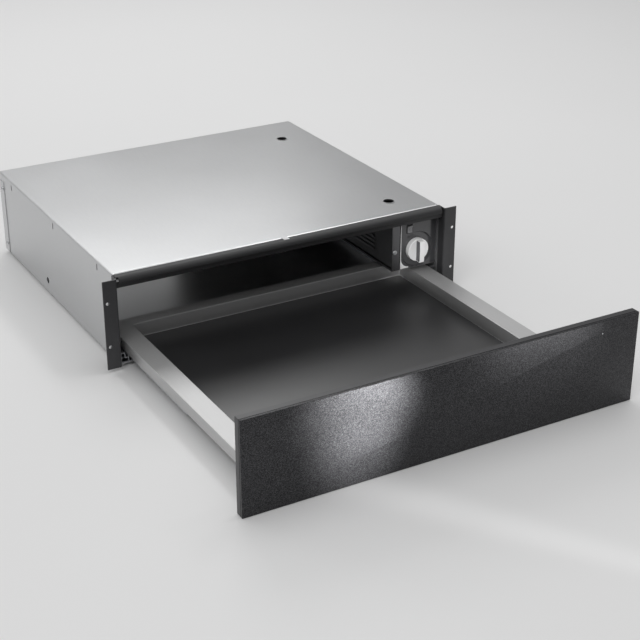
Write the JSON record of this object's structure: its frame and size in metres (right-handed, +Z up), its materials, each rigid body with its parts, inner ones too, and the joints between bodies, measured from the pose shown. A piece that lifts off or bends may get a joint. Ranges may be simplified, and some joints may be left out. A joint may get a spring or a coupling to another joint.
{
  "type": "built-in warming drawer",
  "caption": "Built-in warming drawer with a flat black glass front, shallow tray on telescopic ball runners, air duct with knob and switch.",
  "frame": {"origin": "middle of the four cabinet screw holes, on the front face of the two cabinet flanges", "axes": "+X across the front to the right, +Y into the cabinet, +Z up; the flanges' front faces and the screws look along -Y"},
  "size_m": [0.594, 0.9436, 0.1431],
  "materials": {
    "shell_steel": "galvanised sheet, satin",
    "dark_steel": "charcoal enamel, satin",
    "tray_steel": "fine brushed stainless",
    "mat_rubber": "matt anti-slip mat",
    "front_glass": "black glass, polished, opaque from behind",
    "frame_black": "black, satin",
    "led": "clear lens",
    "runner_zinc": "bright zinc plate",
    "ball_steel": "polished balls",
    "cage_steel": "thin strip",
    "duct_steel": "steel sheet, dull",
    "control_black": "black, glossy",
    "knob_light": "light grey moulded",
    "knob_dark": "dark insert",
    "rocker_grey": "light grey moulded",
    "plastic_black": "black moulded",
    "plastic_white": "natural nylon",
    "core_steel": "laminated motor steel",
    "coil": "taped winding",
    "fan_alu": "pressed",
    "heater_steel": "heat tinted tube",
    "screw_zinc": "bright zinc",
    "buffer_rubber": "soft pads"
  },
  "bodies": {
    "housing": {"housing_cover": "shell_steel", "base_plate": "shell_steel", "rear_panel": "shell_steel", "mouth_crossbar": "dark_steel", "cabinet_flange_left": "dark_steel", "cabinet_flange_right": "dark_steel", "fixed_rail_left": "runner_zinc", "fixed_rail_right": "runner_zinc", "rail_bracket_left": "runner_zinc", "rail_bracket_right": "runner_zinc", "rail_screws": "screw_zinc", "guide_studs": "plastic_white", "duct_wall": "duct_steel", "duct_floor": "duct_steel", "duct_screw": "screw_zinc", "control_plate": "control_black", "thermostat": "plastic_black", "switch_housing": "plastic_black", "fan_bulkhead": "shell_steel", "fan_core": "core_steel", "fan_coil": "coil", "heater_element": "heater_steel", "heater_bracket": "shell_steel", "safety_cutout": "plastic_black", "terminal_block": "plastic_white", "cable_gland": "plastic_black", "latch_body": "plastic_black", "cover_screws": "screw_zinc", "web_rivets": "screw_zinc"},
    "drawer": {"tray": "tray_steel", "anti_slip_mat": "mat_rubber", "front_glass": "front_glass", "front_frame": "frame_black", "led_lens": "led", "front_angle_left": "runner_zinc", "front_angle_right": "runner_zinc", "front_screws": "screw_zinc", "closing_buffers": "buffer_rubber", "drawer_rail_left": "runner_zinc", "drawer_rail_right": "runner_zinc"},
    "middle_rail_left": {"middle_rail_left": "runner_zinc"},
    "lower_cage_left": {"lower_ball_cage_left": "cage_steel", "lower_balls_left": "ball_steel"},
    "upper_cage_left": {"upper_ball_cage_left": "cage_steel", "upper_balls_left": "ball_steel"},
    "middle_rail_right": {"middle_rail_right": "runner_zinc"},
    "lower_cage_right": {"lower_ball_cage_right": "cage_steel", "lower_balls_right": "ball_steel"},
    "upper_cage_right": {"upper_ball_cage_right": "cage_steel", "upper_balls_right": "ball_steel"},
    "knob": {"thermostat_knob": "knob_light", "knob_pointer": "knob_dark", "thermostat_shaft": "screw_zinc"},
    "rocker": {"power_rocker": "rocker_grey"},
    "fan": {"fan_wheel": "fan_alu"},
    "latch_plunger": {"latch_plunger": "plastic_white"}
  },
  "joints": [
    {"name": "drawer_slide", "type": "slide", "parent": "housing", "child": "drawer", "axis": [0, 1, 0], "range_m": [0, 0.4085]},
    {"name": "middle_rail_slide_left", "type": "slide", "parent": "housing", "child": "middle_rail_left", "axis": [0, 1, 0], "range_m": [0, 0.20425]},
    {"name": "lower_cage_slide_left", "type": "slide", "parent": "housing", "child": "lower_cage_left", "axis": [0, 1, 0], "range_m": [0, 0.10212]},
    {"name": "upper_cage_slide_left", "type": "slide", "parent": "housing", "child": "upper_cage_left", "axis": [0, 1, 0], "range_m": [0, 0.30638]},
    {"name": "middle_rail_slide_right", "type": "slide", "parent": "housing", "child": "middle_rail_right", "axis": [0, 1, 0], "range_m": [0, 0.20425]},
    {"name": "lower_cage_slide_right", "type": "slide", "parent": "housing", "child": "lower_cage_right", "axis": [0, 1, 0], "range_m": [0, 0.10212]},
    {"name": "upper_cage_slide_right", "type": "slide", "parent": "housing", "child": "upper_cage_right", "axis": [0, 1, 0], "range_m": [0, 0.30638]},
    {"name": "thermostat_turn", "type": "hinge", "parent": "housing", "child": "knob", "pos_m": [0.23525, 0.01, 0.0009], "axis": [0, 1, 0], "range_deg": [0, 270]},
    {"name": "power_rock", "type": "hinge", "parent": "housing", "child": "rocker", "pos_m": [0.221, 0.023, 0.0377], "axis": [1, 0, 0], "range_deg": [-12, 0]},
    {"name": "fan_spin", "type": "hinge", "parent": "housing", "child": "fan", "pos_m": [0.231, 0.322, 0.0189], "axis": [0, 1, 0], "continuous": true},
    {"name": "latch_push", "type": "slide", "parent": "housing", "child": "latch_plunger", "axis": [0, 1, 0], "range_m": [0, 0.004], "stiffness_N_per_m": 300}
  ],
  "couplings": [
    {"joint": "middle_rail_slide_left", "follows": "drawer_slide", "ratio": 0.5},
    {"joint": "lower_cage_slide_left", "follows": "drawer_slide", "ratio": 0.25},
    {"joint": "upper_cage_slide_left", "follows": "drawer_slide", "ratio": 0.75},
    {"joint": "middle_rail_slide_right", "follows": "drawer_slide", "ratio": 0.5},
    {"joint": "lower_cage_slide_right", "follows": "drawer_slide", "ratio": 0.25},
    {"joint": "upper_cage_slide_right", "follows": "drawer_slide", "ratio": 0.75}
  ]
}
